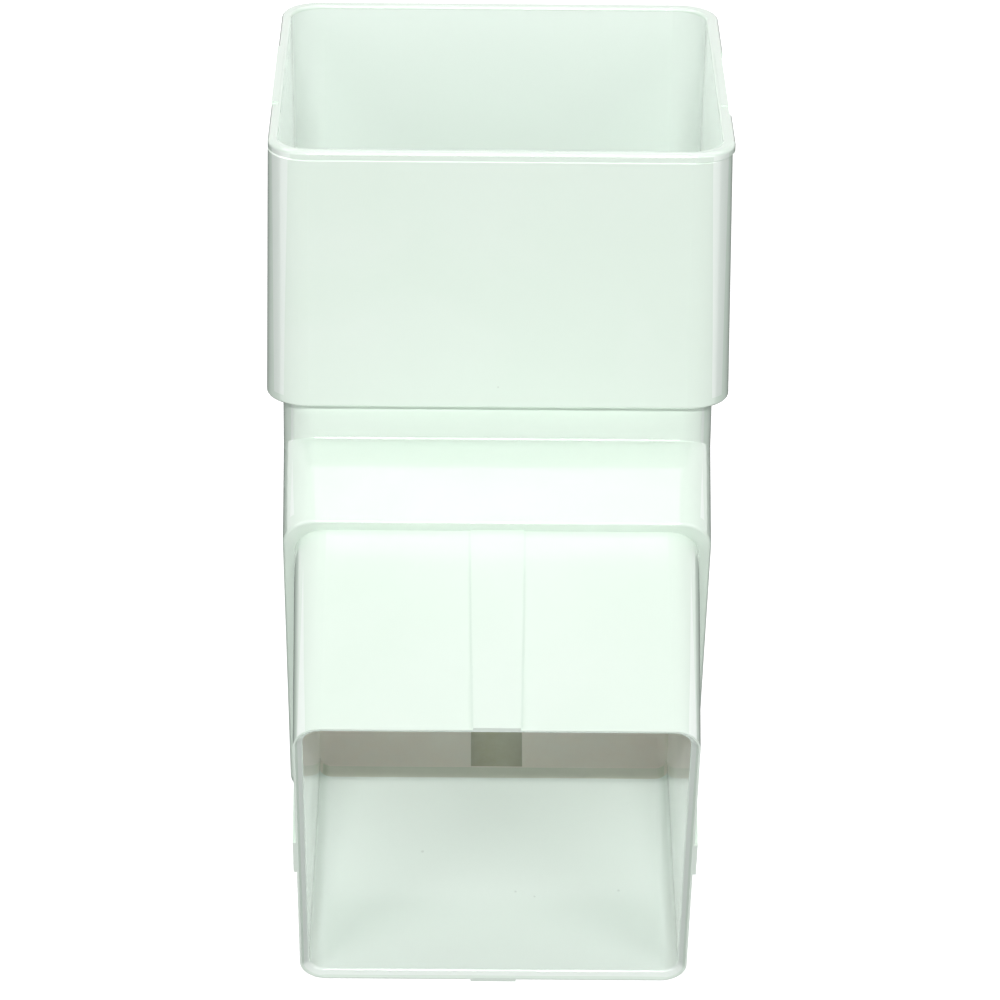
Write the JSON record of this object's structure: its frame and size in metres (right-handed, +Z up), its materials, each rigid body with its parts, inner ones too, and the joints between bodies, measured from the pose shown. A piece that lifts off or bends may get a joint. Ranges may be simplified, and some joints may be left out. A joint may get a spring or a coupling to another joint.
{
  "type": "square downpipe elbow",
  "caption": "Square downpipe bend: a socket takes the pipe above, a mitred bend turns the flow forwards, and a tapered spigot fits inside the pipe below.",
  "frame": {"origin": "centre of the socket mouth, in the plane of its rim", "axes": "+Z up along the socket, the way the upper pipe leaves; the outlet points to -Y and 22.5 degrees below level; +X across"},
  "size_m": [0.0712, 0.1196, 0.1283],
  "materials": {
    "upvc": "semi-gloss moulded surface"
  },
  "bodies": {
    "root": {"elbow_body": "upvc"}
  },
  "joints": []
}
